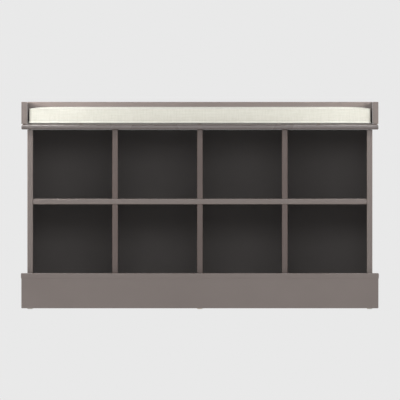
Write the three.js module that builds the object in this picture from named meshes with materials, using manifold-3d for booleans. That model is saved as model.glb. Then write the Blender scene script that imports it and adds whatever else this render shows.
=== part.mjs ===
// A low storage bench. Two rows of open cubbies stand on a moulded plinth. The top board carries a shallow
// tray with rails at the back and both ends, and a loose seat cushion lies in the tray.
// Millimetres, +Z up, front towards -Y, floor at Z = 0, origin at the middle of the footprint.
import * as THREE from 'three';
import { mergeVertices } from 'three/addons/utils/BufferGeometryUtils.js';
import Module from 'manifold-3d';

const wasm = await Module();
wasm.setup();

// ---------------------------------------------------------------- driving dimensions

const topWidth = 914; // top board, end to end
const topDepth = 370; // top board, lip to back
const cubbyColumns = 4;
const lowerCubbyHeight = 176.2;
const upperCubbyHeight = 177;
const plinthHeight = 90; // plinth boards, without the glides
const railHeight = 56.5; // seat rails, above the top board

const boardThickness = 14.3; // side panels, shelves, dividers and top board
const plinthThickness = 15;
const railThickness = 15;
const backThickness = 3;

const fitGap = 0.3; // between two faces that meet

// Shaped edges
const lipTopRadius = 6.5;
const lipBottomRadius = 3;
const beadProud = 1.2; // plinth bead, past the plinth's face
const beadHeight = 10;
const beadCurve = 3.5; // height of the curve from the face out to the bead
const beadTopRadius = 2.5;

// Carcass joints
const housingDepth = 4; // dividers let into the shelves and the top board
const housingStop = 12; // housings stop short of the front edge
const rebateWidth = 7; // back panel let into the side panels
const camSetback = 50; // cam joints, from the front and the back of the carcass
const camReach = 24; // from the joint to the cam's centre
const camRadius = 7.5;
const camSkin = 2; // board left behind a cam's pocket
const boltThreadRadius = 3;
const boltThreadLength = 9;
const boltNeckRadius = 2.4;
const boltHeadRadius = 3.2;
const boltHeadLength = 3.5;
const edgeBoreRadius = 4;

// Seat rail dowels
const dowelRadius = 4;
const dowelLength = 30;
const dowelSkin = 6.3; // top board left under a dowel
const dowelChamfer = 1;
const dowelSetback = 45; // side rail dowels, from the rail's ends
const backRailDowelPitch = 304;

// Under the bottom shelf
const glideThickness = 2;
const glideRadius = 7;
const glideNailRadius = 1.2;
const glideNailLength = 12;
const glideSetback = 30; // from the front and the back of the carcass
const rearRailInset = 20; // from the back of the carcass
const cornerBlockSize = 22;

// Seat cushion
const cushionThickness = 44;
const cushionEndGap = 5; // to each side rail
const cushionBackGap = 3; // to the back rail
const cushionFrontSetback = 9; // behind the top board's lip
const cushionCornerRadius = 14;
const cushionEdgeRadius = 6;

// Facets round each turned piece and bore, and cutters that run past the face they open
const boltSides = 8;
const camSides = 16;
const dowelSides = 10;
const glideSides = 12;
const nailSides = 6;
const cutOverrun = 1;
const sameVertex = 1e-4; // vertices nearer than this are one

// ---------------------------------------------------------------- levels and lines

const overhang = plinthThickness + fitGap;
const carcassHalf = topWidth / 2 - overhang;
const carcassInner = carcassHalf - boardThickness; // inner face of a side panel
const cubbyPitch = (2 * carcassInner + boardThickness) / cubbyColumns;

const backY = (topDepth + beadProud) / 2; // the footprint runs from the bead to the back
const topFrontY = backY - topDepth;
const carcassFrontY = topFrontY + overhang;
const shelfBackY = backY - backThickness - fitGap;
const backRailY = backY - railThickness; // front face of the back rail

const plinthTop = glideThickness + plinthHeight;
const bottomShelfBase = plinthTop - boardThickness;
const middleShelfBase = plinthTop + lowerCubbyHeight;
const middleShelfTop = middleShelfBase + boardThickness;
const topBase = middleShelfTop + upperCubbyHeight;
const topSurface = topBase + boardThickness;

const dividerNumbers = Array.from({ length: cubbyColumns - 1 }, (_, i) => i + 1);
const dividerCentres = dividerNumbers.map((number) => (number - cubbyColumns / 2) * cubbyPitch);
const camRows = [carcassFrontY + camSetback, shelfBackY - camSetback];
const ends = [{ side: 'left', sign: -1 }, { side: 'right', sign: 1 }];

// ---------------------------------------------------------------- finishes

const taupeLacquer = { color: 0x8c817d, roughness: 0.42, metalness: 0 };
const taupeHardboard = { color: 0x847d79, roughness: 0.6, metalness: 0 };
const creamCloth = { color: 0xe4e0d6, roughness: 0.9, metalness: 0 };
const rawWood = { color: 0xc9ab82, roughness: 0.75, metalness: 0 };
const zincAlloy = { color: 0xa9abad, roughness: 0.4, metalness: 0.9 };
const platedSteel = { color: 0xbcbdc0, roughness: 0.3, metalness: 1 };
const whiteNylon = { color: 0xe9e8e4, roughness: 0.5, metalness: 0 };

// ---------------------------------------------------------------- geometry helpers

// A closed geometry as a manifold-3d solid.
function toSolid(geometry) {
  const bare = geometry.clone();
  bare.deleteAttribute('normal');
  bare.deleteAttribute('uv');
  const merged = mergeVertices(bare, sameVertex);
  const vertProperties = new Float32Array(merged.attributes.position.array);
  const triVerts = new Uint32Array(merged.index.array);
  return new wasm.Manifold(new wasm.Mesh({ numProp: 3, vertProperties, triVerts }));
}

function toGeometry(solid) {
  const mesh = solid.getMesh();
  const geometry = new THREE.BufferGeometry();
  geometry.setAttribute('position', new THREE.BufferAttribute(new Float32Array(mesh.vertProperties), 3));
  geometry.setIndex(new THREE.BufferAttribute(new Uint32Array(mesh.triVerts), 1));
  geometry.computeVertexNormals();
  return geometry;
}

function cut(geometry, holes) {
  return toGeometry(holes.reduce((left, hole) => left.subtract(toSolid(hole)), toSolid(geometry)));
}

const common = (first, second) => toGeometry(toSolid(first).intersect(toSolid(second)));

// A box from its low corner to its high corner.
function box([x0, y0, z0], [x1, y1, z1]) {
  const solid = new THREE.BoxGeometry(x1 - x0, y1 - y0, z1 - z0);
  return solid.translate((x0 + x1) / 2, (y0 + y1) / 2, (z0 + z1) / 2);
}

// An outline carried straight along an axis. Its points are (y, z) for x, (x, z) for y and (x, y) for z.
function prism(axis, outline, from, to) {
  const shape = new THREE.Shape(outline.map(([u, v]) => new THREE.Vector2(u, v)));
  const geometry = new THREE.ExtrudeGeometry(shape, { depth: to - from, bevelEnabled: false });
  const [X, Y, Z] = [new THREE.Vector3(1, 0, 0), new THREE.Vector3(0, 1, 0), new THREE.Vector3(0, 0, 1)];
  const turn = new THREE.Matrix4();
  if (axis === 'x') turn.makeBasis(Y, Z, X).setPosition(from, 0, 0);
  if (axis === 'y') turn.makeBasis(X, Z, Y.clone().negate()).setPosition(0, to, 0);
  if (axis === 'z') turn.makeBasis(X, Y, Z).setPosition(0, 0, from);
  return geometry.applyMatrix4(turn);
}

// A round bar from one point to another.
function bar(radius, from, to, sides) {
  const [start, end] = [new THREE.Vector3(...from), new THREE.Vector3(...to)];
  const along = end.clone().sub(start);
  const upright = new THREE.Vector3(0, 1, 0);
  const turn = new THREE.Quaternion().setFromUnitVectors(upright, along.clone().normalize());
  return new THREE.CylinderGeometry(radius, radius, along.length(), sides)
    .applyQuaternion(turn)
    .translate(...start.add(end).multiplyScalar(0.5).toArray());
}

// A piece turned about +Z, from its (radius, height) points.
function turned(points, sides) {
  const profile = points.map(([radius, height]) => new THREE.Vector2(radius, height));
  return new THREE.LatheGeometry(profile, sides).rotateX(Math.PI / 2);
}

// Points of an arc about a centre, from one angle to another in degrees.
function arc(centreU, centreV, radius, fromDeg, toDeg, steps) {
  return Array.from({ length: steps + 1 }, (_, i) => {
    const angle = THREE.MathUtils.degToRad(fromDeg + ((toDeg - fromDeg) * i) / steps);
    return [centreU + radius * Math.cos(angle), centreV + radius * Math.sin(angle)];
  });
}

const bench = new THREE.Group();

function add(name, geometry, finish, parent = bench) {
  const mesh = new THREE.Mesh(geometry, new THREE.MeshStandardMaterial(finish));
  mesh.name = name;
  parent.add(mesh);
  return mesh;
}

// ---------------------------------------------------------------- cam joints

// A cam joint holds one board's end to another board's face. In its own frame the joint's face is Z = 0,
// the bolt is screwed down into the face and stands up along +Z, and the cam is turned from its +X side.
const boltEnd = camReach + boltHeadLength / 2;
const camFace = boardThickness / 2;
const camDepth = boardThickness - camSkin - fitGap;

function camBolt() {
  return turned([
    [0, -boltThreadLength],
    [boltThreadRadius, -boltThreadLength],
    [boltThreadRadius, 0],
    [boltNeckRadius, boltThreadRadius],
    [boltNeckRadius, boltEnd - boltHeadLength],
    [boltHeadRadius, boltEnd - boltHeadLength],
    [boltHeadRadius, boltEnd],
    [0, boltEnd],
  ], boltSides);
}

// The cam is a barrel with a slot from its side, where the bolt's head goes in.
function camLock() {
  const barrel = bar(camRadius - fitGap, [camFace - camDepth, 0, camReach], [camFace, 0, camReach], camSides);
  return cut(barrel, [bar(boltHeadRadius + fitGap, [0, 0, 0], [0, 0, boltEnd + fitGap], boltSides)]);
}

// The holes that a cam joint needs, in the same frame: one in the face, two in the board that stands on it.
function camHoles() {
  const pocketFloor = camFace - camDepth - fitGap;
  return {
    pilot: bar(boltThreadRadius + fitGap, [0, 0, -boltThreadLength - fitGap], [0, 0, cutOverrun], boltSides),
    pocket: bar(camRadius, [pocketFloor, 0, camReach], [camFace + cutOverrun, 0, camReach], camSides),
    edgeBore: bar(edgeBoreRadius, [0, 0, -cutOverrun], [0, 0, camReach], boltSides),
  };
}

const camJoints = [];

// Puts a cam joint at a point, with its bolt along one direction and its cam facing another.
function addCamJoint(name, point, boltAlong, camFacing) {
  const [Z, X] = [new THREE.Vector3(...boltAlong), new THREE.Vector3(...camFacing)];
  const place = new THREE.Matrix4().makeBasis(X, Z.clone().cross(X), Z).setPosition(...point);
  camJoints.push({ name, place });
  const { pilot, pocket, edgeBore } = camHoles();
  return {
    faceHoles: [pilot.applyMatrix4(place)],
    boardHoles: [pocket.applyMatrix4(place), edgeBore.applyMatrix4(place)],
  };
}

const middleShelfMid = middleShelfBase + boardThickness / 2;
const bottomShelfMid = bottomShelfBase + boardThickness / 2;
const sideMid = carcassHalf - boardThickness / 2;
const down = [0, 0, -1];

const sideHoles = { left: [], right: [] };
const bottomShelfHoles = [];
const middleShelfHoles = [];
const topHoles = [];

for (const { side, sign } of ends) {
  camRows.forEach((y, row) => {
    const place = `${side}_${row === 0 ? 'front' : 'rear'}`;
    const [innerX, inwards] = [sign * carcassInner, [-sign, 0, 0]];
    const bottom = addCamJoint(`bottom_shelf_${place}`, [innerX, y, bottomShelfMid], inwards, down);
    const middle = addCamJoint(`middle_shelf_${place}`, [innerX, y, middleShelfMid], inwards, down);
    const top = addCamJoint(`top_board_${place}`, [sign * sideMid, y, topBase], down, inwards);
    sideHoles[side].push(...bottom.faceHoles, ...middle.faceHoles, ...top.boardHoles);
    bottomShelfHoles.push(...bottom.boardHoles);
    middleShelfHoles.push(...middle.boardHoles);
    topHoles.push(...top.faceHoles);
  });
}

// ---------------------------------------------------------------- glides

const glideRows = [carcassFrontY + glideSetback, backY - glideSetback];
const rearRailBackY = backY - rearRailInset;
const rearRailFrontY = rearRailBackY - boardThickness;
const braceGlideRows = [carcassFrontY + glideSetback, rearRailFrontY - glideSetback];

// The hole for a glide's nail in the board above it.
function glideHole(x, y) {
  const top = glideThickness + glideNailLength + fitGap;
  return bar(glideNailRadius + fitGap, [x, y, 0], [x, y, top], nailSides);
}

// A glide is a round pad with a nail that stands up from it.
function addGlide(name, x, y) {
  const padTop = glideThickness - fitGap;
  const pad = turned([[0, 0], [glideRadius, 0], [glideRadius, padTop], [0, padTop]], glideSides);
  const nail = bar(glideNailRadius, [0, 0, padTop / 2], [0, 0, glideThickness + glideNailLength], nailSides);
  add(name, toGeometry(toSolid(pad).add(toSolid(nail))), whiteNylon).position.set(x, y, 0);
}

// ---------------------------------------------------------------- side panels

for (const { side, sign } of ends) {
  const rebateX = carcassInner + rebateWidth;
  const outline = [
    [carcassInner, carcassFrontY],
    [carcassHalf, carcassFrontY],
    [carcassHalf, backY],
    [rebateX, backY],
    [rebateX, shelfBackY],
    [carcassInner, shelfBackY],
  ].map(([x, y]) => [sign * x, y]);
  const panel = prism('z', outline, glideThickness, topBase - fitGap);
  const nails = glideRows.map((y) => glideHole(sign * sideMid, y));
  add(`side_panel_${side}`, cut(panel, [...sideHoles[side], ...nails]), taupeLacquer);
  glideRows.forEach((y, row) => addGlide(`glide_${side}_${row === 0 ? 'front' : 'rear'}`, sign * sideMid, y));
}

// ---------------------------------------------------------------- shelves and dividers

// Stopped grooves that the dividers slide into from the back, cut from one level to another.
function housings(from, to) {
  const half = boardThickness / 2 + fitGap;
  const [front, rear] = [carcassFrontY + housingStop, backY + cutOverrun];
  return dividerCentres.map((x) => box([x - half, front, from], [x + half, rear, to]));
}

function shelf(base, holes) {
  const half = carcassInner - fitGap;
  const board = box([-half, carcassFrontY, base], [half, shelfBackY, base + boardThickness]);
  return cut(board, holes);
}

const bottomGrooves = housings(plinthTop - housingDepth, plinthTop + cutOverrun);
add('bottom_shelf', shelf(bottomShelfBase, [...bottomShelfHoles, ...bottomGrooves]), taupeLacquer);

const middleGrooves = [
  ...housings(middleShelfBase - cutOverrun, middleShelfBase + housingDepth),
  ...housings(middleShelfTop - housingDepth, middleShelfTop + cutOverrun),
];
add('middle_shelf', shelf(middleShelfBase, [...middleShelfHoles, ...middleGrooves]), taupeLacquer);

// A divider fills the cubby's height at the front and is taller by its two housings behind that.
function divider(x, cubbyBase, cubbyTop) {
  const tongueY = carcassFrontY + housingStop + fitGap;
  const [low, high] = [cubbyBase + fitGap, cubbyTop - fitGap];
  const outline = [
    [carcassFrontY, low],
    [tongueY, low],
    [tongueY, low - housingDepth],
    [shelfBackY, low - housingDepth],
    [shelfBackY, high + housingDepth],
    [tongueY, high + housingDepth],
    [tongueY, high],
    [carcassFrontY, high],
  ];
  return prism('x', outline, x - boardThickness / 2, x + boardThickness / 2);
}

dividerCentres.forEach((x, i) => {
  add(`lower_divider_${i + 1}`, divider(x, plinthTop, middleShelfBase), taupeLacquer);
  add(`upper_divider_${i + 1}`, divider(x, middleShelfTop, topBase), taupeLacquer);
});

// ---------------------------------------------------------------- back panel

const backHalf = carcassInner + rebateWidth - fitGap;
const backPanelTop = topBase - fitGap;
const backPanel = box([-backHalf, backY - backThickness, bottomShelfBase], [backHalf, backY, backPanelTop]);
add('back_panel', backPanel, taupeHardboard);

// ---------------------------------------------------------------- seat rail dowels

const railCentreX = (topWidth - railThickness) / 2;
const sideRailFrontY = topFrontY + lipTopRadius;
const sideRailDowelRows = [sideRailFrontY + dowelSetback, backY - dowelSetback];
const backRailDowels = [-1, 0, 1].map((step) => [step * backRailDowelPitch, backY - railThickness / 2]);
const dowelBase = topBase + dowelSkin;

// The hole that a dowel needs in the top board and in the rail above it.
function dowelHole([x, y]) {
  const [low, high] = [dowelBase - fitGap, dowelBase + dowelLength + fitGap];
  return bar(dowelRadius + fitGap, [x, y, low], [x, y, high], dowelSides);
}

function addDowel(name, [x, y]) {
  const dowel = turned([
    [0, 0],
    [dowelRadius - dowelChamfer, 0],
    [dowelRadius, dowelChamfer],
    [dowelRadius, dowelLength - dowelChamfer],
    [dowelRadius - dowelChamfer, dowelLength],
    [0, dowelLength],
  ], dowelSides);
  add(name, dowel, rawWood).position.set(x, y, dowelBase);
}

const railDowels = {
  left: sideRailDowelRows.map((y) => [-railCentreX, y]),
  right: sideRailDowelRows.map((y) => [railCentreX, y]),
  back: backRailDowels,
};
for (const [rail, points] of Object.entries(railDowels)) {
  points.forEach((point, i) => addDowel(`${rail}_rail_dowel_${i + 1}`, point));
}

// ---------------------------------------------------------------- top board

// The lip's outline, from the board's underside round to its top, for an edge at 0 that faces +.
const lipOutline = [
  ...arc(-lipBottomRadius, topBase + lipBottomRadius, lipBottomRadius, -90, 0, 3),
  ...arc(-lipTopRadius, topSurface - lipTopRadius, lipTopRadius, 0, 90, 5),
];
const topHalf = topWidth / 2;
const frontLip = lipOutline.map(([out, z]) => [topFrontY - out, z]);
const rightLip = lipOutline.map(([out, z]) => [topHalf + out, z]);
const leftLip = lipOutline.map(([out, z]) => [-topHalf - out, z]).reverse();
const topBlank = common(
  prism('x', [...frontLip, [backY, topSurface], [backY, topBase]], -topHalf, topHalf),
  prism('y', [...rightLip, ...leftLip], topFrontY, backY),
);
const topGrooves = housings(topBase - cutOverrun, topBase + housingDepth);
const dowelHoles = Object.values(railDowels).flat().map(dowelHole);
add('top_board', cut(topBlank, [...topHoles, ...topGrooves, ...dowelHoles]), taupeLacquer);

// ---------------------------------------------------------------- seat rails

const railBase = topSurface + fitGap;
const railTop = topSurface + railHeight;
for (const { side, sign } of ends) {
  const half = railThickness / 2;
  const [low, high] = [sign * railCentreX - half, sign * railCentreX + half];
  const rail = box([low, sideRailFrontY, railBase], [high, backY, railTop]);
  add(`seat_rail_${side}`, cut(rail, railDowels[side].map(dowelHole)), taupeLacquer);
}
const backRailHalf = topHalf - railThickness - fitGap;
const backRail = box([-backRailHalf, backRailY, railBase], [backRailHalf, backY, railTop]);
add('seat_rail_back', cut(backRail, railDowels.back.map(dowelHole)), taupeLacquer);

// ---------------------------------------------------------------- plinth

// Section of a plinth board, as distance out from its back face and height. The bead stands proud at the top.
function plinthSection() {
  const beadOut = plinthThickness + beadProud;
  const beadBase = plinthTop - beadHeight;
  const curve = [0, 0.25, 0.5, 0.75, 1].map((share) => {
    const out = plinthThickness + (beadProud * (1 - Math.cos(Math.PI * share))) / 2;
    return [out, beadBase - beadCurve * (1 - share)];
  });
  return [
    [0, glideThickness],
    [plinthThickness, glideThickness],
    ...curve,
    ...arc(beadOut - beadTopRadius, plinthTop - beadTopRadius, beadTopRadius, 0, 90, 3),
    [0, plinthTop],
  ];
}

const plinthOuterHalf = carcassHalf + fitGap + plinthThickness;
const plinthFaceY = carcassFrontY - fitGap - plinthThickness;
const mitreShift = fitGap / Math.SQRT2; // moves each mitred end so that the joint is one gap wide
const mitreReach = 40; // how far the mitre cutters run past the corner
const mitreHeights = [-cutOverrun, plinthTop + cutOverrun];

// The ground that the front plinth board keeps, between its two mitre planes.
function frontMitre() {
  const out = [plinthOuterHalf + mitreReach - mitreShift, plinthFaceY - mitreReach];
  const inside = [plinthOuterHalf - mitreReach - mitreShift, plinthFaceY + mitreReach];
  return prism('z', [[-out[0], out[1]], out, inside, [-inside[0], inside[1]]], ...mitreHeights);
}

// The ground that a plinth return keeps, behind its mitre plane.
function returnMitre(sign) {
  const corner = [plinthOuterHalf + mitreReach, plinthFaceY - mitreReach + mitreShift];
  const inside = [plinthOuterHalf - mitreReach, plinthFaceY + mitreReach + mitreShift];
  const ground = [corner, [corner[0], backY], [inside[0], backY], inside].map(([x, y]) => [sign * x, y]);
  return prism('z', ground, ...mitreHeights);
}

const frontSection = plinthSection().map(([out, z]) => [plinthFaceY + plinthThickness - out, z]);
const frontBoard = prism('x', frontSection, -plinthOuterHalf - mitreReach, plinthOuterHalf + mitreReach);
add('plinth_front', common(frontBoard, frontMitre()), taupeLacquer);

for (const { side, sign } of ends) {
  const section = plinthSection().map(([out, z]) => [sign * (carcassHalf + fitGap + out), z]);
  const board = prism('y', section, plinthFaceY - mitreReach, backY);
  add(`plinth_${side}`, common(board, returnMitre(sign)), taupeLacquer);
}

// ---------------------------------------------------------------- frame under the bottom shelf

const underShelf = bottomShelfBase - fitGap;
const railHalf = carcassInner - fitGap;
const rearRail = box([-railHalf, rearRailFrontY, glideThickness], [railHalf, rearRailBackY, underShelf]);
add('plinth_rear_rail', rearRail, taupeLacquer);

const brace = box(
  [-boardThickness / 2, carcassFrontY, glideThickness],
  [boardThickness / 2, rearRailFrontY - fitGap, underShelf],
);
add('centre_brace', cut(brace, braceGlideRows.map((y) => glideHole(0, y))), taupeLacquer);
braceGlideRows.forEach((y, row) => addGlide(`glide_centre_${row === 0 ? 'front' : 'rear'}`, 0, y));

for (const { side, sign } of ends) {
  const reach = railHalf - cornerBlockSize;
  const [low, high] = sign > 0 ? [reach, railHalf] : [-railHalf, -reach];
  const blockBackY = carcassFrontY + cornerBlockSize;
  const block = box([low, carcassFrontY, glideThickness], [high, blockBackY, underShelf]);
  add(`corner_block_${side}`, block, rawWood);
}

// ---------------------------------------------------------------- cam locks and bolts

for (const { name, place } of camJoints) {
  const joint = new THREE.Group();
  joint.applyMatrix4(place);
  add(`${name}_bolt`, camBolt(), platedSteel, joint);
  add(`${name}_cam`, camLock(), zincAlloy, joint);
  bench.add(joint);
}

// ---------------------------------------------------------------- seat cushion

const cushionHalf = topHalf - railThickness - cushionEndGap;
const cushionFrontY = topFrontY + cushionFrontSetback;
const cushionBackY = backRailY - cushionBackGap;

// The cushion's outline in plan, drawn in by its edge radius because the bevel gives that back.
function cushionOutline() {
  const half = cushionHalf - cushionEdgeRadius;
  const [front, rear] = [cushionFrontY + cushionEdgeRadius, cushionBackY - cushionEdgeRadius];
  const r = cushionCornerRadius - cushionEdgeRadius;
  const points = [
    ...arc(half - r, front + r, r, -90, 0, 3),
    ...arc(half - r, rear - r, r, 0, 90, 3),
    ...arc(-half + r, rear - r, r, 90, 180, 3),
    ...arc(-half + r, front + r, r, 180, 270, 3),
  ];
  return new THREE.Shape(points.map(([x, y]) => new THREE.Vector2(x, y)));
}

const cushion = new THREE.ExtrudeGeometry(cushionOutline(), {
  depth: cushionThickness - 2 * cushionEdgeRadius,
  bevelThickness: cushionEdgeRadius,
  bevelSize: cushionEdgeRadius,
  bevelSegments: 2,
});
add('cushion', cushion, creamCloth).position.z = topSurface + fitGap + cushionEdgeRadius;

export default bench;
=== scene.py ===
import math

import bmesh
import bpy
import numpy as np
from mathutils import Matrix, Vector


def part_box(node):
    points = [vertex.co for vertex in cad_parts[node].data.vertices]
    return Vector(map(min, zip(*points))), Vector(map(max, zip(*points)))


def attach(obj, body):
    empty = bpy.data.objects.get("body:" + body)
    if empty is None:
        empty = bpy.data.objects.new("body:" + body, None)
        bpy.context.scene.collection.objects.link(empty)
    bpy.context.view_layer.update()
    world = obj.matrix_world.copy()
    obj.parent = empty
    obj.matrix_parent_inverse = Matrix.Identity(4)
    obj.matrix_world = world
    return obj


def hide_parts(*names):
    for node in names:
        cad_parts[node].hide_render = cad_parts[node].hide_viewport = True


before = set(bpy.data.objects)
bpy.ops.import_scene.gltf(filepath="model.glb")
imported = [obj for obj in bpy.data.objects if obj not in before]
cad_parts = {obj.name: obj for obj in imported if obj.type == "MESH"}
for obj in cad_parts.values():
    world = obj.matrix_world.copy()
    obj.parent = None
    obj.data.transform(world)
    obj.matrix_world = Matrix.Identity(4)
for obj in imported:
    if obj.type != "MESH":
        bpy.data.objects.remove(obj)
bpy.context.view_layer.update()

# A low cubby bench: eight cubbies in a taupe lacquered carcass on a plinth, a seat board with a rounded
# lip, a low rail round three sides of the seat, and a loose piped cushion. Lengths are in metres.

MM = 0.001
SAME_POINT = 1e-6  # points nearer than this are one
FIT_GAP = 0.3 * MM

# Radii of the rounded edges
PANEL_ARRIS = 2.2 * MM
SHELF_ARRIS = 1.9 * MM
RAIL_ARRIS = 1.6 * MM
RAIL_END_ARRIS = 0.1 * MM  # where the back rail meets the side rails
BLOCK_ARRIS = 1.0 * MM
DIVIDER_END_ARRIS = 0.2 * MM
HIDDEN_ARRIS = 0.4 * MM
LIP_TOP = 6.5 * MM
LIP_BOTTOM = 3.0 * MM
LIP_CORNER = 0.8 * MM
ARC_STEPS = 5


# ---------------------------------------------------------------- shapes

def outline(corners, radii):
    """Rounds the corners of a flat polygon, given anticlockwise.

    On each corner's arc the direction turns evenly from the outward normal of the side before it to that
    of the side after it, and a point is centre + radius * direction. The mitre is the sum of the two
    normals over one plus their dot product, so that it is one unit away from both sides.
    """
    point = np.asarray(corners, float)
    radius = np.broadcast_to(np.asarray(radii, float), len(point))
    side = np.roll(point, -1, 0) - point
    side = side / np.linalg.norm(side, axis=1)[:, None]
    after = np.stack([side[:, 1], -side[:, 0]], 1)
    before = np.roll(after, 1, 0)
    mitre = (before + after) / (1 + (before * after).sum(1))[:, None]
    start = np.arctan2(before[:, 1], before[:, 0])
    turn = np.arcsin(before[:, 0] * after[:, 1] - before[:, 1] * after[:, 0])
    share = np.linspace(0, 1, ARC_STEPS + 1)
    angle = (start[:, None] + turn[:, None] * share).ravel()
    many = ARC_STEPS + 1
    return {
        "centre": np.repeat(point - mitre * radius[:, None], many, 0),
        "direction": np.stack([np.cos(angle), np.sin(angle)], 1),
        "mitre": np.repeat(mitre, many, 0),
        "radius": np.repeat(radius, many),
        "arris": (np.sin(np.pi * share) * (radius > 0)[:, None]).ravel(),
    }


def inset(shape, depth):
    """The outline moved inwards by each depth: arcs shrink to their centres, then run on along the mitre."""
    left = shape["radius"] - np.asarray(depth, float)[:, None]
    arc = shape["direction"] * np.maximum(left, 0)[..., None]
    past = shape["mitre"] * np.maximum(-left, 0)[..., None]
    return shape["centre"] + arc - past


def prism(shape, axis, low, high, ease):
    """An outline carried along one axis, with a quarter round of its own radius at each end.

    On the quarter round the outline stands in by ease * (1 - sin t) and the end is ease * (1 - cos t) away,
    for t from 0 to a quarter turn. Returns rings of points and how far each is on an arris, from 0 to 1.
    """
    t = np.linspace(0, np.pi / 2, ARC_STEPS + 1)
    depth = np.concatenate([ease[0] * (1 - np.sin(t)), ease[1] * (1 - np.sin(t[::-1]))])
    place = np.concatenate([low + ease[0] * (1 - np.cos(t)), high - ease[1] * (1 - np.cos(t[::-1]))])
    flat = inset(shape, depth)
    along = np.broadcast_to(place[:, None, None], (*flat.shape[:2], 1))
    rings = np.roll(np.concatenate([flat, along], -1), {"z": 0, "x": 1, "y": 2}[axis], -1)
    on_ring = np.sin(2 * np.concatenate([t, t[::-1]]))[:, None]
    return rings, np.maximum(on_ring, shape["arris"][None])


def skin(rings):
    """Quads from ring to ring, and a flat face over each end ring."""
    count, many = rings.shape[:2]
    i = np.arange(many)
    j = np.arange(count - 1)[:, None] * many
    after = (i + 1) % many
    quads = np.stack([j + i, j + after, j + many + after, j + many + i], -1).reshape(-1, 4)
    return [*quads.tolist(), i[::-1].tolist(), (i + (count - 1) * many).tolist()]


def tube(path, radius, around=10):
    """A round cord along a closed level path: centre + radius * (cos a * outward + sin a * up)."""
    ahead = np.roll(path, -1, 0) - np.roll(path, 1, 0)
    ahead = ahead / np.linalg.norm(ahead, axis=1)[:, None]
    outward = np.stack([ahead[:, 1], -ahead[:, 0], np.zeros(len(path))], 1)
    outward = outward / np.linalg.norm(outward, axis=1)[:, None]
    up = np.cross(outward, ahead)
    a = np.linspace(0, 2 * np.pi, around, endpoint=False)
    ring = np.cos(a)[None, :, None] * outward[:, None] + np.sin(a)[None, :, None] * up[:, None]
    verts = path[:, None] + radius * ring
    i = np.arange(around)
    j = np.arange(len(path))[:, None]
    k = (j + 1) % len(path)
    after = (i + 1) % around
    quads = np.stack([j * around + i, k * around + i, k * around + after, j * around + after], -1)
    return verts.reshape(-1, 3), quads.reshape(-1, 4)


def turned(profile, around):
    """A profile of (radius, height) points turned about the z axis. Where the radius is 0, tidy_mesh makes
    the whole ring one point."""
    r, z = np.asarray(profile, float).T
    a = np.linspace(0, 2 * np.pi, around, endpoint=False)
    height = np.repeat(z[:, None], around, 1)
    return np.stack([r[:, None] * np.cos(a), r[:, None] * np.sin(a), height], -1)


def disc_faces(rings, around):
    """Quads of a grid of rings, from each ring to the next."""
    i = np.arange(around)
    j = np.arange(rings - 1)[:, None] * around
    after = (i + 1) % around
    return np.stack([j + i, j + around + i, j + around + after, j + after], -1).reshape(-1, 4)


def piece(name, verts, faces, look, body="bench", stands_for=(), arris=None, crease=35.0, even=True):
    """Puts points and faces into an object at the origin, merges doubles, and rides it on its body. Edges
    that turn by more than crease, in degrees, stay sharp."""
    mesh = bpy.data.meshes.new(name)
    mesh.from_pydata(np.asarray(verts, float).reshape(-1, 3), [], faces)
    if arris is not None:
        layer = mesh.attributes.new("arris", "FLOAT", "POINT")
        layer.data.foreach_set("value", np.asarray(arris, np.float32).ravel())
    made = bpy.data.objects.new(name, mesh)
    bpy.context.scene.collection.objects.link(made)
    tidy_mesh(mesh)
    mesh.shade_smooth()
    mesh.set_sharp_from_angle(angle=math.radians(crease))
    if even:
        weighted = made.modifiers.new("even shading", "WEIGHTED_NORMAL")
        weighted.keep_sharp = True
    mesh.materials.append(look)
    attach(made, body)
    if stands_for:
        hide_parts(*stands_for)
    return made


def tidy_mesh(mesh):
    """Merges points that lie on each other, and turns every face outwards."""
    work = bmesh.new()
    work.from_mesh(mesh)
    bmesh.ops.remove_doubles(work, verts=work.verts, dist=SAME_POINT)
    bmesh.ops.recalc_face_normals(work, faces=work.faces)
    work.to_mesh(mesh)
    work.free()


def rectangle(low, high, a, b):
    """The four corners of a box seen along its third axis, anticlockwise in (a, b)."""
    return [(low[a], low[b]), (high[a], low[b]), (high[a], high[b]), (low[a], high[b])]


def board(node, axis, radii, ease, look, low=None, high=None, corners=None):
    """A board in the place of a frame node: its section, with a radius at each corner, is carried along
    axis, with ease as the radii at its two ends."""
    box_low, box_high = (np.array(corner, float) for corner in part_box(node))
    low = box_low if low is None else np.array(low)
    high = box_high if high is None else np.array(high)
    a, b, c = {"z": (0, 1, 2), "x": (1, 2, 0), "y": (2, 0, 1)}[axis]
    corners = rectangle(low, high, a, b) if corners is None else corners
    rings, arris = prism(outline(corners, radii), axis, low[c], high[c], ease)
    return piece(f"{node}_finished", rings, skin(rings), look, "bench", [node], arris)


# ---------------------------------------------------------------- finishes

# Real sizes of the patterns
LACQUER_CLOUD = 143 * MM  # where a coat is a little thicker or thinner
RUB_AND_HIGHLIGHT_PATCH = 16.7 * MM
ORANGE_PEEL = 3.0 * MM
PANEL_CLOUD = 111 * MM
FELT = 1.6 * MM
GRAIN_LENGTH = 250 * MM
GRAIN_WIDTH = 7.7 * MM
THREAD = 0.75 * MM
WEAVE_COARSER = 3  # threads are too fine to show, so the weave is drawn this many times as coarse
SLUB_LENGTH = 33.3 * MM
SLUB_WIDTH = 3.85 * MM
ZINC_SKIN = 1.5 * MM
STEEL_SKIN = 2.0 * MM
SCUFF = 2.5 * MM
WAVE_PERIOD = 2 * math.pi / 20  # a band texture of scale 1 repeats every so many metres


def linear(colour):
    """An sRGB hex colour as linear red, green, blue and alpha."""
    c = np.array([int(colour[k : k + 2], 16) for k in (1, 3, 5)]) / 255
    c = np.where(c <= 0.04045, c / 12.92, ((c + 0.055) / 1.055) ** 2.4)
    return (*c.tolist(), 1.0)


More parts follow.
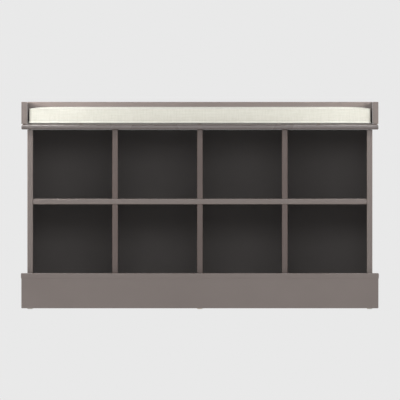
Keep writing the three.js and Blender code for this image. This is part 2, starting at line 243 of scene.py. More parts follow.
def add(tree, kind, inputs, **settings):
    """Adds one shader node. An input that is a socket is linked, and any other value is set on it. Inputs are
    given by name or number, or as a list in the node's order. MapRange's list is a value, the range that it
    comes from and the range that it goes to. Mix has its factor at 0 and its colours at 6 and 7."""
    made = tree.nodes.new("ShaderNode" + kind)
    for name, value in settings.items():
        setattr(made, name, value)
    for name, value in inputs.items() if isinstance(inputs, dict) else enumerate(inputs):
        if isinstance(value, bpy.types.NodeSocket):
            tree.links.new(value, made.inputs[name])
        else:
            made.inputs[name].default_value = value
    return made


def blank(name):
    """A material with an empty node tree. Returns it, its tree and its object coordinates."""
    made = bpy.data.materials.new(name)
    made.use_nodes = True
    made.node_tree.nodes.clear()
    return made, made.node_tree, add(made.node_tree, "TexCoord", {}).outputs["Object"]


def surfaced(made, inputs):
    """Gives a material its surface shader, with these inputs."""
    surface = add(made.node_tree, "BsdfPrincipled", inputs)
    add(made.node_tree, "OutputMaterial", [surface.outputs[0]])
    return made


def lacquer(name, first, second, worn_and_highlit, roughness, coat, gloss=0.5):
    """Sprayed satin lacquer on fibreboard: an even, soft sheen with a faint orange peel, a little more open
    in some places than in others, and thinner and paler on the arrises, where it has been rubbed down, with a
    painted highlight along them as well."""
    made, tree, place = blank(name)
    sizes = {"Vector": place, "Scale": 1 / LACQUER_CLOUD, "Detail": 3.0, "Roughness": 0.5}
    cloud = add(tree, "TexNoise", sizes).outputs[0]
    sizes = {"Vector": place, "Scale": 1 / RUB_AND_HIGHLIGHT_PATCH, "Detail": 4.0, "Roughness": 0.6}
    patch = add(tree, "TexNoise", sizes).outputs[0]
    peel = add(tree, "TexNoise", {"Vector": place, "Scale": 1 / ORANGE_PEEL, "Detail": 1.0}).outputs[0]
    share = add(tree, "MapRange", [cloud, 0.3, 0.7, 0.0, 1.0]).outputs[0]
    body = add(tree, "Mix", {0: share, 6: linear(first), 7: linear(second)}, data_type="RGBA").outputs[2]
    arris = add(tree, "Attribute", {}, attribute_name="arris").outputs["Fac"]
    uneven = add(tree, "MapRange", [patch, 0.35, 0.65, 0.15, 0.8]).outputs[0]
    # Paler arrises: partly lacquer rubbed through, partly a painted highlight along the edges.
    rub_and_highlight = add(tree, "Math", [arris, uneven], operation="MULTIPLY").outputs[0]
    return surfaced(made, {
        "Base Color": add(tree, "Mix", {0: rub_and_highlight, 6: body, 7: linear(worn_and_highlit)}, data_type="RGBA").outputs[2],
        "Roughness": add(tree, "MapRange", [cloud, 0.3, 0.7, roughness - 0.02, roughness + 0.03]).outputs[0],
        "Normal": add(tree, "Bump", {"Strength": 0.12, "Distance": 0.05 * MM, "Height": peel}).outputs[0],
        "IOR": 1.5,
        "Specular IOR Level": gloss,
        "Coat Weight": coat,
        "Coat Roughness": 0.16,
    })


def hardboard(name, first, second, roughness):
    """Thin fibreboard with a rolled-on matt coat: flat and dull, with a fine felted tooth from the fibres."""
    made, tree, place = blank(name)
    cloud = add(tree, "TexNoise", {"Vector": place, "Scale": 1 / PANEL_CLOUD, "Detail": 4.0}).outputs[0]
    felt = add(tree, "TexNoise", {"Vector": place, "Scale": 1 / FELT, "Detail": 2.0}).outputs[0]
    share = add(tree, "MapRange", [cloud, 0.3, 0.7, 0.0, 1.0]).outputs[0]
    return surfaced(made, {
        "Base Color": add(tree, "Mix", {0: share, 6: linear(first), 7: linear(second)},
                          data_type="RGBA").outputs[2],
        "Roughness": add(tree, "MapRange", [felt, 0.3, 0.7, roughness, roughness + 0.1]).outputs[0],
        "Normal": add(tree, "Bump", {"Strength": 0.15, "Distance": 0.05 * MM, "Height": felt}).outputs[0],
        "IOR": 1.48,
    })


def softwood(name, along):
    """Planed pine, left bare: pale bands of early and late wood drawn out along the piece. The grain runs
    along the x, y or z axis, by the number along."""
    made, tree, place = blank(name)
    grain = [1 / GRAIN_WIDTH] * 3
    grain[along] = 1 / GRAIN_LENGTH
    drawn = add(tree, "Mapping", {"Vector": place, "Scale": grain}).outputs[0]
    sizes = {"Vector": drawn, "Scale": 1.0, "Detail": 5.0, "Distortion": 0.4}
    rings = add(tree, "TexNoise", sizes).outputs[0]
    band = add(tree, "MapRange", [rings, 0.38, 0.62, 0.0, 1.0]).outputs[0]
    return surfaced(made, {
        "Base Color": add(tree, "Mix", {0: band, 6: linear("#CDAE81"), 7: linear("#B99465")},
                          data_type="RGBA").outputs[2],
        "Roughness": add(tree, "MapRange", [rings, 0.3, 0.7, 0.6, 0.75]).outputs[0],
        "Normal": add(tree, "Bump", {"Strength": 0.2, "Distance": 0.1 * MM, "Height": rings}).outputs[0],
    })


def canvas(name, first, second):
    """Cotton canvas, plain woven: soft and matt with a faint sheen at grazing angles. The weave is the
    product of warp bands and weft bands. Slubs, the thicker stretches of thread, are noise drawn out along
    the warp and along the weft."""
    made, tree, _ = blank(name)
    cloth = add(tree, "UVMap", {}, uv_map="cloth").outputs[0]
    bands = []
    slubs = []
    for way, length, width in (("X", SLUB_LENGTH, SLUB_WIDTH), ("Y", SLUB_WIDTH, SLUB_LENGTH)):
        sizes = {"Vector": cloth, "Scale": WAVE_PERIOD / (WEAVE_COARSER * THREAD), "Distortion": 0.0}
        band = add(tree, "TexWave", sizes, bands_direction=way).outputs["Fac"]
        bands.append(add(tree, "MapRange", [band, 0.0, 1.0, -1.0, 1.0]).outputs[0])
        drawn_out = (1 / length, 1 / width, 1 / width)
        drawn = add(tree, "Mapping", {"Vector": cloth, "Scale": drawn_out}).outputs[0]
        slubs.append(add(tree, "TexNoise", {"Vector": drawn, "Scale": 1.0, "Detail": 2.0}).outputs[0])
    weave = add(tree, "Math", bands, operation="MULTIPLY").outputs[0]
    slub = add(tree, "Math", slubs, operation="ADD").outputs[0]
    slub = add(tree, "Math", [slub, 0.5], operation="MULTIPLY").outputs[0]
    faint = add(tree, "MapRange", [weave, -1.0, 1.0, -0.12, 0.12]).outputs[0]
    shade = add(tree, "Math", [faint, slub], operation="ADD").outputs[0]
    share = add(tree, "MapRange", [shade, 0.3, 0.7, 0.0, 1.0]).outputs[0]
    return surfaced(made, {
        "Base Color": add(tree, "Mix", {0: share, 6: linear(first), 7: linear(second)},
                          data_type="RGBA").outputs[2],
        "Normal": add(tree, "Bump", {"Strength": 0.35, "Distance": 0.15 * MM, "Height": weave}).outputs[0],
        "Roughness": 0.9,
        "Specular IOR Level": 0.3,
        "Sheen Weight": 0.2,
        "Sheen Roughness": 0.5,
    })


def metal(name, first, second, roughness, skin_size):
    """Bare metal fittings: a cool grey with a cloudy, slightly pitted skin that breaks up its highlights."""
    made, tree, place = blank(name)
    cloud = add(tree, "TexNoise", {"Vector": place, "Scale": 1 / skin_size, "Detail": 4.0}).outputs[0]
    share = add(tree, "MapRange", [cloud, 0.3, 0.7, 0.0, 1.0]).outputs[0]
    return surfaced(made, {
        "Base Color": add(tree, "Mix", {0: share, 6: linear(first), 7: linear(second)},
                          data_type="RGBA").outputs[2],
        "Roughness": add(tree, "MapRange", [cloud, 0.3, 0.7, roughness, roughness + 0.15]).outputs[0],
        "Normal": add(tree, "Bump", {"Strength": 0.2, "Distance": 0.05 * MM, "Height": cloud}).outputs[0],
        "Metallic": 1.0,
    })


def nylon(name):
    """Moulded nylon: milky white, slightly dull, with faint flow marks and scuffs."""
    made, tree, place = blank(name)
    scuff = add(tree, "TexNoise", {"Vector": place, "Scale": 1 / SCUFF, "Detail": 3.0}).outputs[0]
    share = add(tree, "MapRange", [scuff, 0.35, 0.7, 0.0, 1.0]).outputs[0]
    return surfaced(made, {
        "Base Color": add(tree, "Mix", {0: share, 6: linear("#E6E4DE"), 7: linear("#CFCCC4")},
                          data_type="RGBA").outputs[2],
        "Roughness": add(tree, "MapRange", [scuff, 0.3, 0.7, 0.42, 0.6]).outputs[0],
        "IOR": 1.53,
    })


taupe_lacquer = lacquer("satin taupe lacquer on fibreboard", "#726762", "#766B66", "#877B73", 0.32, 0.6)
# The dividers' lacquer is the taupe lacquer made darker as painted shade, for the light that their upright
# front edges catch less than the shelves' edges do.
shaded_divider_lacquer = lacquer("satin taupe lacquer on the dividers", "#5B4D48", "#5F514C", "#72655E", 0.32, 0.35)
# The seat board's lacquer is glossier, and its colour is darker than the taupe lacquer as painted shade on
# the lip's front.
shaded_seat_lacquer = lacquer("polished taupe lacquer on the seat board", "#4D413D", "#514541", "#655852", 0.27, 1.0,
                       gloss=0.7)
panel_coat = hardboard("matt coated hardboard", "#777270", "#7B7674", 0.5)
cream_canvas = canvas("cream cotton canvas", "#DDDBCE", "#EAE8DD")
# The piping's canvas is paler than the cover's: a painted highlight along the welts, where light falls on
# their rounded tops.
highlit_piping_canvas = canvas("cream cotton canvas, paler as a painted highlight", "#EEECE2", "#F3F1E8")
pine_along = softwood("planed pine, grain along the bench", 0)
pine_across = softwood("planed pine, grain front to back", 1)
pine_upright = softwood("planed pine, grain upright", 2)
zinc = metal("die cast zinc", "#A9ABAD", "#8E9194", 0.38, ZINC_SKIN)
steel = metal("zinc plated steel", "#BFC2C6", "#A6AAB0", 0.28, STEEL_SKIN)
white_nylon = nylon("moulded white nylon")


# ---------------------------------------------------------------- carcass

back_low, back_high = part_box("back_panel")
REBATE_X = back_high[0] + FIT_GAP
REBATE_Y = back_low[1] - FIT_GAP


def mirrored(corners, sign):
    """Corners for the left (sign -1) or right (sign 1), kept anticlockwise."""
    flipped = [(sign * x, y) for x, y in corners]
    return flipped if sign > 0 else flipped[::-1]


for side, sign in (("left", -1), ("right", 1)):
    low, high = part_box(f"side_panel_{side}")
    inner = min(abs(low[0]), abs(high[0]))
    outer = max(abs(low[0]), abs(high[0]))
    corners = [(inner, low[1]), (outer, low[1]), (outer, high[1]), (REBATE_X, high[1]), (REBATE_X, REBATE_Y)]
    corners.append((inner, REBATE_Y))
    radii = [PANEL_ARRIS, PANEL_ARRIS, HIDDEN_ARRIS * 2, HIDDEN_ARRIS, 0.0, HIDDEN_ARRIS]
    radii = radii if sign > 0 else radii[::-1]
    board(f"side_panel_{side}", "z", radii, (HIDDEN_ARRIS,) * 2, taupe_lacquer,
          corners=mirrored(corners, sign))

for shelf in ("bottom_shelf", "middle_shelf"):
    board(shelf, "x", [SHELF_ARRIS, HIDDEN_ARRIS, HIDDEN_ARRIS, SHELF_ARRIS], (HIDDEN_ARRIS,) * 2,
          taupe_lacquer)

# The dividers are seen between the shelves only, so they are made without their tongues.
ROWS = {
    "lower": (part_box("bottom_shelf")[1][2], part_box("middle_shelf")[0][2]),
    "upper": (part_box("middle_shelf")[1][2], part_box("top_board")[0][2]),
}
for row, (floor_z, ceiling_z) in ROWS.items():
    for number in (1, 2, 3):
        low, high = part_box(f"{row}_divider_{number}")
        board(f"{row}_divider_{number}", "z", [SHELF_ARRIS, SHELF_ARRIS, HIDDEN_ARRIS, HIDDEN_ARRIS],
              (DIVIDER_END_ARRIS,) * 2, shaded_divider_lacquer,
              low=(low[0], low[1], floor_z), high=(high[0], high[1], ceiling_z))

PIN_PROUD = 0.4 * MM  # the panel's back face stands in by this, so that its pins don't stand past the frame
board("back_panel", "y", [HIDDEN_ARRIS] * 4, (HIDDEN_ARRIS,) * 2, panel_coat,
      high=(back_high[0], back_high[1] - PIN_PROUD, back_high[2]))


def square_back(shape):
    """Keeps an outline's back side straight when it is inset: its mitres lose their backward part."""
    back = shape["mitre"][:, 1] > 0
    shape["mitre"][back, 1] = 0.0
    return shape


# The seat board gets neither rubbed-through lacquer nor the painted highlight on its lip's arrises, so the
# board has no arris values.
low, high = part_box("top_board")
shape = square_back(outline(rectangle(low, high, 0, 1), [LIP_CORNER, LIP_CORNER, 0.0, 0.0]))
rings, _ = prism(shape, "z", low[2], high[2], (LIP_BOTTOM, LIP_TOP))
piece("top_board_finished", rings, skin(rings), shaded_seat_lacquer, "bench", ["top_board"])

for side in ("left", "right"):
    board(f"seat_rail_{side}", "y", [HIDDEN_ARRIS, RAIL_ARRIS, RAIL_ARRIS, HIDDEN_ARRIS],
          (HIDDEN_ARRIS,) * 2, taupe_lacquer)
board("seat_rail_back", "x", [HIDDEN_ARRIS, HIDDEN_ARRIS, RAIL_ARRIS, RAIL_ARRIS], (RAIL_END_ARRIS,) * 2,
      taupe_lacquer)


# ---------------------------------------------------------------- panel pins

PIN_RADIUS = 2.0 * MM
PIN_PITCH = 76 * MM
PIN_SIDES = 12
PIN_FROM_SIDE = 4 * MM  # from the back panel's sides
PIN_FROM_END = 7 * MM  # from its top and its bottom
PIN_SHARES = np.array([1.0, 0.92, 0.6, 0.0])  # of the radius, at each ring of a head


def pin_spots(low, high, middle_z):
    """Where the pins hold the back panel, as (x, z): along its four edges and along the middle shelf."""
    side_x = high[0] - PIN_FROM_SIDE
    bottom_z = low[2] + PIN_FROM_END
    top_z = high[2] - PIN_FROM_END
    across = np.linspace(-side_x, side_x, round(2 * side_x / PIN_PITCH) + 1)
    upward = np.linspace(bottom_z, top_z, round((top_z - bottom_z) / PIN_PITCH) + 1)[1:-1]
    rows = [np.stack([across, np.full(len(across), z)], 1) for z in (bottom_z, top_z, middle_z)]
    columns = [np.stack([np.full(len(upward), x), upward], 1) for x in (-side_x, side_x)]
    return np.concatenate(rows + columns)


def pin_head():
    """A low dome: at a share r of the radius it stands out by (1 - r^2) * PIN_PROUD."""
    r = PIN_SHARES[:, None]
    a = np.linspace(0, 2 * np.pi, PIN_SIDES, endpoint=False)
    out = np.broadcast_to((1 - r**2) * PIN_PROUD, (len(r), PIN_SIDES))
    return np.stack([r * np.cos(a) * PIN_RADIUS, out, r * np.sin(a) * PIN_RADIUS], -1).reshape(-1, 3)


spots = pin_spots(back_low, back_high, sum(corner[2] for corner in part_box("middle_shelf")) / 2)
seats = np.stack([spots[:, 0], np.full(len(spots), back_high[1] - PIN_PROUD), spots[:, 1]], 1)
head = pin_head()
first_point = np.arange(len(spots)) * len(head)
domes = (disc_faces(len(PIN_SHARES), PIN_SIDES)[None] + first_point[:, None, None]).reshape(-1, 4)
undersides = np.arange(PIN_SIDES) + first_point[:, None]
piece("back_panel_pins", seats[:, None] + head[None], [*domes.tolist(), *undersides.tolist()], steel,
      even=False)


# ---------------------------------------------------------------- plinth

PLINTH_THICKNESS = 15 * MM
BEAD_PROUD = 1.2 * MM
BEAD_HEIGHT = 10 * MM
BEAD_CURVE = 6.0 * MM
BEAD_CURVE_STEPS = 6
BEAD_TOP = 2.5 * MM
PLINTH_FOOT = 1.5 * MM
MITRE_GAP = 0.2 * MM


def quarter(centre, radius, start, stop, steps=6):
    """Points on an arc: centre + radius * (cos, sin) of evenly spaced angles in degrees."""
    a = np.radians(np.linspace(start, stop, steps + 1))
    return np.stack([centre[0] + radius * np.cos(a), centre[1] + radius * np.sin(a)], 1)


def plinth_section(low, high):
    """The plinth board's section as (distance in from the bead's face, height), anticlockwise: the square
    back, an eased foot, a flat face, a curve out to the bead, the bead's flat and its rounded top. On the
    curve the distance in is BEAD_PROUD * (1 - s^2 (3 - 2 s)), with s from 0 to 1 going up."""
    thick = PLINTH_THICKNESS + BEAD_PROUD
    s = np.linspace(0, 1, BEAD_CURVE_STEPS + 1)
    curve_foot = high - BEAD_HEIGHT - BEAD_CURVE
    curve = np.stack([BEAD_PROUD * (1 - s * s * (3 - 2 * s)), curve_foot + BEAD_CURVE * s], 1)
    return np.concatenate(
        [
            [[thick, high], [thick, low]],
            quarter((BEAD_PROUD + PLINTH_FOOT, low + PLINTH_FOOT), PLINTH_FOOT, 270, 180),
            curve,
            quarter((BEAD_TOP, high - BEAD_TOP), BEAD_TOP, 180, 90),
        ]
    )


def plinth_board(node, side, start, stop, mitre):
    """The section carried from start to stop: along x at the front (side 0), and along y at the left (-1) or
    the right (1). At a mitred end each point stops short by as far as it is in from the bead's face."""
    low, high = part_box(node)
    section = plinth_section(low[2], high[2])
    along = np.stack([start + section[:, 0] * mitre[0], stop - section[:, 0] * mitre[1]])
    inward = np.broadcast_to(section[:, 0], along.shape)
    up = np.broadcast_to(section[:, 1], along.shape)
    if side == 0:
        rings = np.stack([along, low[1] + inward, up], -1)
    elif side < 0:
        rings = np.stack([low[0] + inward, along, up], -1)
    else:
        rings = np.stack([high[0] - inward, along, up], -1)
    piece(f"{node}_finished", rings, skin(rings), taupe_lacquer, "bench", [node], crease=40)


low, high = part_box("plinth_front")
plinth_board("plinth_front", 0, low[0], high[0], (1, 1))
for side, sign in (("left", -1), ("right", 1)):
    rear_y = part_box(f"plinth_{side}")[1][1]
    plinth_board(f"plinth_{side}", sign, low[1] + MITRE_GAP, rear_y, (1, 0))

board("plinth_rear_rail", "x", [HIDDEN_ARRIS] * 4, (HIDDEN_ARRIS,) * 2, pine_along)
board("centre_brace", "y", [HIDDEN_ARRIS] * 4, (HIDDEN_ARRIS,) * 2, pine_across)
for side in ("left", "right"):
    board(f"corner_block_{side}", "z", [BLOCK_ARRIS] * 4, (HIDDEN_ARRIS,) * 2, pine_upright)


# ---------------------------------------------------------------- cushion

CUSHION_LOW, CUSHION_HIGH = (np.array(corner, float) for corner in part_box("cushion"))
START_LOW = CUSHION_LOW + np.array([0.0, 1.2, 0.2]) * MM  # the cover before it is filled
START_HIGH = CUSHION_HIGH - np.array([0.0, 1.2, 4.2]) * MM
START_MARGIN = np.array([4.0, 4.0, 2.4]) * MM  # rounding of its edges
START_PULL = (2.5 * MM, 4.0 * MM)  # how far its ends, and its front and back, are drawn in
COVER_STEPS = (124, 48)
WALL_STEPS = 6
SEAM_LOW = 3.3 * MM  # the lower seam's height over the foot
SEAM_HIGH = 1.6 * MM  # the upper seam's depth under the top
LOWER_WELT = 2.0 * MM  # radii of the piping
UPPER_WELT = 0.9 * MM
SWELL = 3.5 * MM  # the farthest that filling lifts a point
BELLY = 0.9 * MM  # the farthest that it pushes one sideways
FRAMES = 20


def cushion_lattice(low, high, steps, levels):
    """Evenly spaced points on the six faces of a box, with the given heights, shared points merged. Returns
    the points and the quads, wound outwards."""
    lines = [np.linspace(low[0], high[0], steps[0] + 1), np.linspace(low[1], high[1], steps[1] + 1), levels]
    points, quads, base = [], [], 0
    for k in range(3):
        i, j = (k + 1) % 3, (k + 2) % 3
        u, v = np.meshgrid(lines[i], lines[j], indexing="ij")
        rows, columns = u.shape
        a = (np.arange(rows - 1)[:, None] * columns + np.arange(columns - 1)).ravel()
        quad = np.stack([a, a + columns, a + columns + 1, a + 1], 1)
        for end in (0, -1):
            face = np.empty((rows * columns, 3))
            face[:, k] = lines[k][end]
            face[:, i] = u.ravel()
            face[:, j] = v.ravel()
            points.append(face)
            quads.append((quad if end == -1 else quad[:, ::-1]) + base)
            base += rows * columns
    points = np.concatenate(points)
    keys = np.round(points / SAME_POINT).astype(np.int64)
    _, first, back = np.unique(keys, axis=0, return_index=True, return_inverse=True)
    return points[first], back.ravel()[np.concatenate(quads)]


def soften(points, low, high, margin):
    """Rounds a box: a point's offset from the nearest point of the inner box, over the margin, is turned from
    a square into a ball by its greatest part over its length."""
    inner = np.clip(points, low + margin, high - margin)
    offset = (points - inner) / margin
    length = np.linalg.norm(offset, axis=1)
    greatest = np.abs(offset).max(1)
    share = np.where(length > 0, greatest / np.maximum(length, 1e-9), 1.0)
    return inner + offset * share[:, None] * margin


def draw_in(points, low, high, pull):
    """Draws each side in between its corners, by pull * (1 - |s|^3), with s running from -1 to 1 along it.
    The pull fades inwards with the fifth power of the place across the cushion."""
    middle = (low + high) / 2
    half = (high - low) / 2
    s = (points - middle) / half
    bow = 1 - np.clip(np.abs(s), 0, 1) ** 3.0
    out = points.copy()
    out[:, 0] -= pull[0] * bow[:, 1] * s[:, 0] ** 5
    out[:, 1] -= pull[1] * bow[:, 0] * s[:, 1] ** 5
    return out


walls = np.linspace(START_LOW[2] + SEAM_LOW, START_HIGH[2] - SEAM_HIGH, WALL_STEPS + 1)
levels = np.concatenate([[START_LOW[2]], walls, [START_HIGH[2]]])
lattice, quads = cushion_lattice(START_LOW, START_HIGH, COVER_STEPS, levels)
resting = draw_in(soften(lattice, START_LOW, START_HIGH, START_MARGIN), START_LOW, START_HIGH, START_PULL)


def on_seam(level):
    """Which cover points lie on the row round the cushion at one height of the lattice."""
    middle = (START_LOW + START_HIGH) / 2
    half = (START_HIGH - START_LOW) / 2
    edge = np.abs((lattice - middle) / half)[:, :2].max(1)
    return np.flatnonzero((np.abs(lattice[:, 2] - level) < SAME_POINT) & (edge > 1 - 1e-6))


def inflated(points, faces):
    """The cushion's cover blown up by cloth simulation: its bottom and its two piped seams are held, and the
    panels between them swell."""
    mesh = bpy.data.meshes.new("cover")
    mesh.from_pydata(points, [], faces)
    cover = bpy.data.objects.new("cover", mesh)
    bpy.context.scene.collection.objects.link(cover)
    held = cover.vertex_groups.new(name="held")
    held.add(np.flatnonzero(lattice[:, 2] < walls[0] + SAME_POINT).tolist(), 1.0, "REPLACE")
    held.add(on_seam(walls[-1]).tolist(), 1.0, "REPLACE")
    cloth = cover.modifiers.new("cloth", "CLOTH")
    cloth.settings.quality = 4
    cloth.settings.mass = 0.3
    cloth.settings.tension_stiffness = 12
    cloth.settings.compression_stiffness = 12
    cloth.settings.shear_stiffness = 6
    cloth.settings.bending_stiffness = 2
    cloth.settings.use_pressure = True
    cloth.settings.uniform_pressure_force = 4
    cloth.settings.vertex_group_mass = "held"
    cloth.settings.effector_weights.gravity = 0
    cloth.point_cache.frame_start = 1
    cloth.point_cache.frame_end = FRAMES
    for number in range(1, FRAMES + 1):
        bpy.context.scene.frame_set(number)
    blown = cover.evaluated_get(bpy.context.evaluated_depsgraph_get()).to_mesh()
    out = np.empty(len(points) * 3)
    blown.vertices.foreach_get("co", out)
    bpy.data.objects.remove(cover)
    bpy.context.scene.frame_set(1)
    return out.reshape(-1, 3)


swell = inflated(resting, quads.tolist()) - resting
# No point moves farther than the limit: upwards by SWELL * tanh(move / SWELL), and sideways likewise.
limit = np.array([BELLY, BELLY, SWELL])
stuffed = resting + limit * np.tanh(swell / limit)
stuffed[:, 2] = np.maximum(stuffed[:, 2], START_LOW[2])


def cloth_map(mesh):
    """A flat map in metres for each panel: (x, y) on top and bottom, (x, z) in front and behind, (y, z) at
    the ends, chosen by the greatest part of the face's normal."""
    count = len(mesh.polygons)
    normal = np.empty(count * 3)
    mesh.polygons.foreach_get("normal", normal)
    totals = np.empty(count, np.int32)
    mesh.polygons.foreach_get("loop_total", totals)
    way = np.repeat(np.abs(normal.reshape(-1, 3)).argmax(1), totals)
    which = np.empty(len(mesh.loops), np.int32)
    mesh.loops.foreach_get("vertex_index", which)
    place = np.empty(len(mesh.vertices) * 3)
    mesh.vertices.foreach_get("co", place)
    place = place.reshape(-1, 3)[which]
    across = np.where(way == 0, place[:, 1], place[:, 0])
    upward = np.where(way == 2, place[:, 1], place[:, 2])
    mesh.uv_layers.new(name="cloth").data.foreach_set("uv", np.stack([across, upward], 1).ravel())


cushion = piece("cushion_cover", stuffed, quads.tolist(), cream_canvas, "cushion", ["cushion"],
                crease=180, even=False)
cloth_map(cushion.data)
subdivided = cushion.modifiers.new("smooth", "SUBSURF")
subdivided.levels = 1
subdivided.render_levels = 1


def seam_path(level):
    """The row of cover points at one height of the lattice, in order round the cushion."""
    row = on_seam(level)
    s = (lattice[row] - (START_LOW + START_HIGH) / 2) / (START_HIGH - START_LOW)
    return stuffed[row[np.argsort(np.arctan2(s[:, 1], s[:, 0]))]]


for end, level, radius in (("bottom", walls[0], LOWER_WELT), ("top", walls[-1], UPPER_WELT)):
    verts, faces = tube(seam_path(level), radius)
    welt = piece(f"cushion_welt_{end}", verts, faces.tolist(), highlit_piping_canvas, "cushion",
                 crease=180, even=False)
    cloth_map(welt.data)


# ---------------------------------------------------------------- fittings

CAM_PROUD = 0.3 * MM
CAM_RADIUS = 7.5 * MM
CAM_SIDES = 48
CAM_SHARES = np.array([0, 0.12, 0.24, 0.36, 0.5, 0.62, 0.66, 0.8, 0.93, 0.98, 1.0])  # of the radius, by ring
CROSS_ARM = 0.16  # half the width of the cross's arms, as a share of the radius
CROSS_REACH = 0.64
CROSS_DEPTH = 0.8 * MM
CAM_EASE_FROM = 0.95
CAM_EASE_SLOPE = 4 * MM
CAM_SKIRT = 1.5 * MM  # how far the last ring is turned back into the board
PAD_THICKNESS = 2 * MM
PAD_SIDES = 24


def cam_face():
    """A cam's face, a grid of rings in its own plane. The height is -CROSS_DEPTH inside the cross, 0 on the
    flat, and falls by CAM_EASE_SLOPE * (share - CAM_EASE_FROM) towards the rim."""
    share = CAM_SHARES[:, None]
    a = np.linspace(0, 2 * np.pi, CAM_SIDES, endpoint=False)
    x = share * np.cos(a)
    y = share * np.sin(a)
    sunk = (np.minimum(np.abs(x), np.abs(y)) < CROSS_ARM) & (share < CROSS_REACH)
    z = np.where(sunk, -CROSS_DEPTH, 0.0) - np.maximum(share - CAM_EASE_FROM, 0) * CAM_EASE_SLOPE
    z[-1] = -CAM_SKIRT
    return np.stack([x * CAM_RADIUS, y * CAM_RADIUS, z], -1)


cam_faces = disc_faces(len(CAM_SHARES), CAM_SIDES).tolist()
for shelf in ("bottom_shelf", "middle_shelf", "top_board"):
    for side, sign in (("left", 1), ("right", -1)):
        for end in ("front", "rear"):
            node = f"{shelf}_{side}_{end}_cam"
            low, high = (np.array(corner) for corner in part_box(node))
            middle = (low + high) / 2
            grid = cam_face()
            if shelf == "top_board":  # in a side panel, facing into the cubby
                grid = np.stack([sign * (grid[..., 2] + CAM_PROUD), grid[..., 0] * sign, grid[..., 1]], -1)
                grid = grid + np.array([high[0] if side == "left" else low[0], middle[1], middle[2]])
            else:  # in the underside of the shelf
                grid = np.stack([grid[..., 0], -grid[..., 1], -grid[..., 2] - CAM_PROUD], -1)
                grid = grid + np.array([middle[0], middle[1], low[2]])
            piece(f"{node}_face", grid, cam_faces, zinc, "bench", [node], crease=30)

for side in ("left", "centre", "right"):
    for end in ("front", "rear"):
        node = f"glide_{side}_{end}"
        low, high = (np.array(corner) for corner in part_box(node))
        rim = (high[0] - low[0]) / 2
        # A flat foot, an eased rim, a straight side and a flat top
        profile = [(0, 0), (rim - 2 * MM, 0), (rim - 0.8 * MM, 0.2 * MM), (rim, 0.9 * MM),
                   (rim, PAD_THICKNESS), (0, PAD_THICKNESS)]
        grid = turned(profile, PAD_SIDES) + np.array([(low[0] + high[0]) / 2, (low[1] + high[1]) / 2, low[2]])
        piece(f"{node}_pad", grid, disc_faces(len(profile), PAD_SIDES).tolist(), white_nylon,
              "bench", [node], crease=50)

# The bolts and the dowels are hidden in the boards, so the frame's own nodes only take a finish.
hidden_looks = {"bolt": steel, "dowel": pine_upright}
for name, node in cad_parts.items():
    for word, look in hidden_looks.items():
        if word in name:
            node.data.materials.clear()
            node.data.materials.append(look)


# ---------------------------------------------------------------- studio

FLOOR_PATCH = 667 * MM
FLOOR_REACH = 40.0
WALL_GREY = "#E9E9E9"
CAMERA_PLACE = (0.00026, -9.0, 0.2792)  # straight in front, level with the middle cubbies
CAMERA_WIDTH = 1.024  # what it takes in from side to side

# A pale matt floor, lit from within like a studio table: it stays flat and even, with soft faint shadows.
floor_finish, tree, place = blank("pale studio floor")
patch = add(tree, "TexNoise", {"Vector": place, "Scale": 1 / FLOOR_PATCH, "Detail": 2.0}).outputs[0]
surfaced(floor_finish, {
    "Base Color": add(tree, "Mix", {0: patch, 6: linear("#BEBEBE"), 7: linear("#C0C0C0")},
                      data_type="RGBA").outputs[2],
    "Roughness": 0.9,
    "Specular IOR Level": 0.1,
    "Emission Color": linear(WALL_GREY),
    "Emission Strength": 0.63,
})
mesh = bpy.data.meshes.new("studio_floor")
corners = [(-FLOOR_REACH, -FLOOR_REACH, 0), (FLOOR_REACH, -FLOOR_REACH, 0)]
corners += [(FLOOR_REACH, FLOOR_REACH, 0), (-FLOOR_REACH, FLOOR_REACH, 0)]
mesh.from_pydata(corners, [], [(0, 1, 2, 3)])
mesh.materials.append(floor_finish)
floor = bpy.data.objects.new("studio_floor", mesh)
bpy.context.scene.collection.objects.link(floor)

world = bpy.data.worlds.new("studio")
bpy.context.scene.world = world
world.use_nodes = True
tree = world.node_tree
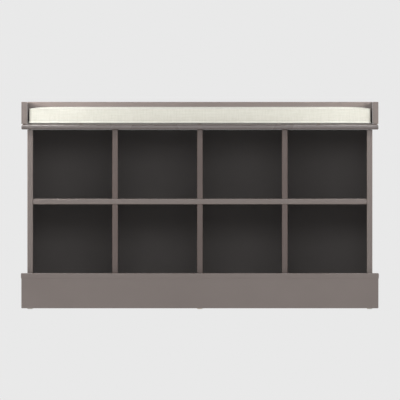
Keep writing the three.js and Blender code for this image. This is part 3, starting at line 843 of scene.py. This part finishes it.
# The walls are evenly pale and the ceiling is dark, with a soft change between them.
heading = add(tree, "TexCoord", {}).outputs["Generated"]
height = add(tree, "SeparateXYZ", [heading]).outputs[2]
dusk = add(tree, "MapRange", [height, 0.3, 0.65, 1.0, 0.04]).outputs[0]
tree.links.new(dusk, tree.nodes["Background"].inputs["Strength"])
tree.nodes["Background"].inputs["Color"].default_value = linear(WALL_GREY)


def softbox(name, place, aim, size, power, spread):
    """A soft light at place, turned to face aim. A grid over it keeps its light within spread, in degrees,
    and at 180 it is bare."""
    lamp = bpy.data.lights.new(name, "AREA")
    lamp.shape = "RECTANGLE"
    lamp.size, lamp.size_y = size
    lamp.energy = power
    lamp.spread = math.radians(spread)
    made = bpy.data.objects.new(name, lamp)
    bpy.context.scene.collection.objects.link(made)
    facing = Vector(aim) - Vector(place)
    made.rotation_euler = facing.to_track_quat("-Z", "Y").to_euler()
    made.location = place
    made.visible_camera = False


# Each pair of softboxes: its name, where the right one stands, what that one faces, their size, the powers of
# the left and the right one in watts, and the spread of their grids in degrees.
PAIRS = (
    ("side", (0.95, -0.17, 0.74), (0.35, 0.0, 0.5), (0.3, 0.3), (4.6, 3.4), 180),
    ("rail", (0.95, -0.17, 0.74), (0.36, 0.17, 0.525), (0.2, 0.2), (0.42, 0.26), 40),
    ("lip", (0.50, -0.63, 1.06), (0.43, -0.185, 0.47), (0.3, 0.2), (0.13, 0.09), 35),
)
for word, (x, y, z), (aim_x, aim_y, aim_z), size, powers, spread in PAIRS:
    for side, sign, power in zip(("left", "right"), (-1, 1), powers):
        softbox(f"{side} {word} softbox", (sign * x, y, z), (sign * aim_x, aim_y, aim_z), size, power, spread)
softbox("overhead softbox", (0.0, -0.9, 1.5), (0.0, -0.1, 0.4), (1.4, 0.3), 6.5, 180)
softbox("front softbox", (0.0, -3.6, 1.0), (0.0, 0.0, 0.3), (2.6, 0.6), 12.0, 180)

camera = bpy.data.cameras.new("camera")
camera.type = "ORTHO"
camera.ortho_scale = CAMERA_WIDTH
eye = bpy.data.objects.new("camera", camera)
bpy.context.scene.collection.objects.link(eye)
eye.location = CAMERA_PLACE
eye.rotation_euler = (math.pi / 2, 0, 0)
bpy.context.scene.camera = eye
bpy.context.scene.view_settings.view_transform = "Standard"
